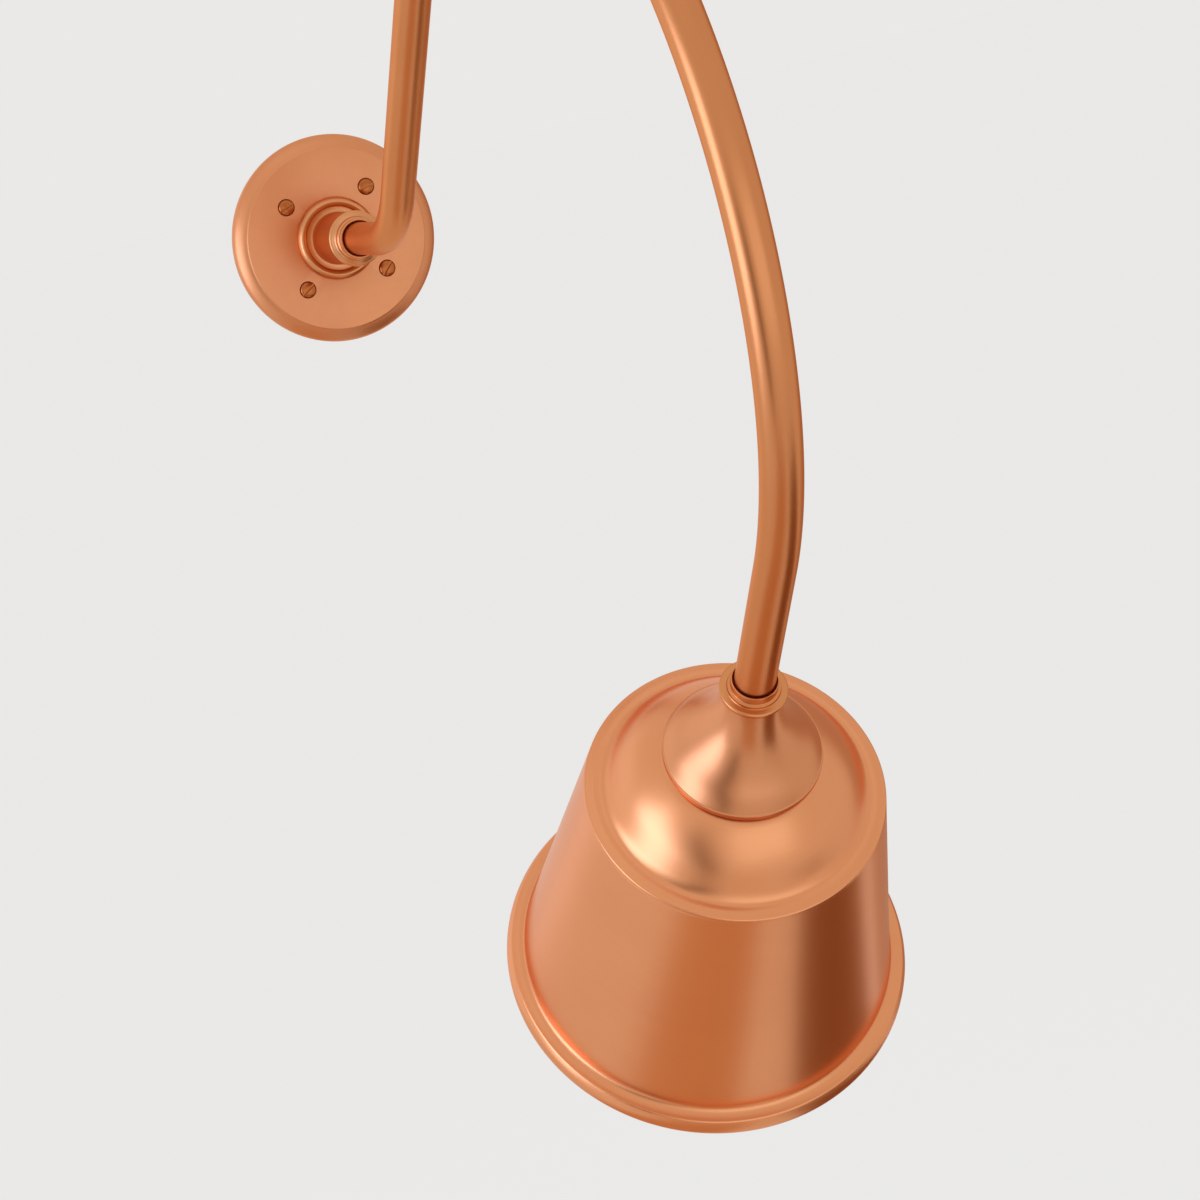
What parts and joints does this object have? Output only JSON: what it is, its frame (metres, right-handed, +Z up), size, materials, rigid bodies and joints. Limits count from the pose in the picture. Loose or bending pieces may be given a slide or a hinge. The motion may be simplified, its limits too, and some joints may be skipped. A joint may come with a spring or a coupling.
{
  "type": "gooseneck wall sconce",
  "caption": "Copper gooseneck wall light: round wall plate, bent tube arm that turns at the wall, trumpet holder and conical shade with a rolled rim, aimed back down at the wall.",
  "frame": {"origin": "centre of the wall plate at its back face, on the wall", "axes": "+Y into the wall, -Y out into the room, +Z up; the arm lies in the plane x = 0 at rest"},
  "size_m": [0.2032, 0.7506, 0.6783],
  "materials": {
    "plate_copper": "satin brushed copper",
    "hub_copper": "satin turned copper",
    "arm_copper": "satin drawn copper tube",
    "holder_copper": "satin spun copper",
    "shade_copper": "satin spun copper",
    "screw_copper": "bright copper plated steel",
    "gasket_rubber": "matt black",
    "grommet_rubber": "matt black",
    "zinc_steel": "zinc plated",
    "turned_brass": "turned brass",
    "shell_brass": "rolled brass",
    "spring_bronze": "spring bronze",
    "white_ceramic": "glazed ceramic",
    "washer_nylon": "natural nylon",
    "splice_plastic": "moulded plastic",
    "flex_jacket": "white silicone",
    "live_core": "black insulation",
    "neutral_core": "white insulation",
    "earth_core": "green insulation",
    "cap_alloy": "rolled lamp cap",
    "black_glass": "black vitrite",
    "solder": "soft solder",
    "bulb_glass": "clear",
    "filament_yellow": "phosphor strips"
  },
  "bodies": {
    "wall_mount": {"backplate": "plate_copper", "wall_gasket": "gasket_rubber", "plate_screws": "screw_copper", "hub": "hub_copper", "hub_washer": "zinc_steel", "hub_locknut": "turned_brass", "arm_grub_screws": "zinc_steel", "earth_screw": "turned_brass", "earth_tag": "turned_brass", "friction_washer": "washer_nylon"},
    "arm": {"arm_tube": "arm_copper", "retaining_clip": "zinc_steel", "tube_grommets": "grommet_rubber", "inner_flex": "flex_jacket", "live_tails": "live_core", "neutral_tails": "neutral_core", "earth_tails": "earth_core", "splice_caps": "splice_plastic", "shade_collar": "hub_copper", "collar_grub_screws": "zinc_steel", "nipple": "turned_brass", "nipple_locknut": "turned_brass", "shade_holder": "holder_copper", "shade": "shade_copper", "shade_ring": "turned_brass", "holder_cap": "white_ceramic", "holder_body": "white_ceramic", "holder_screws": "zinc_steel", "terminal_screws": "turned_brass", "screw_shell": "shell_brass", "centre_contact": "spring_bronze"},
    "lamp": {"bulb_cap": "cap_alloy", "bulb_insulator": "black_glass", "bulb_tip": "solder", "bulb_glass": "bulb_glass", "bulb_stem": "bulb_glass", "filament": "filament_yellow"}
  },
  "joints": [
    {"name": "arm_swivel", "type": "hinge", "parent": "wall_mount", "child": "arm", "pos_m": [0, 0, 0], "axis": [0, -1, 0], "range_deg": [-60, 60]},
    {"name": "bulb_out", "type": "slide", "parent": "arm", "child": "lamp", "axis": [0, 0.7314, -0.682], "range_m": [0, 0.034]}
  ]
}
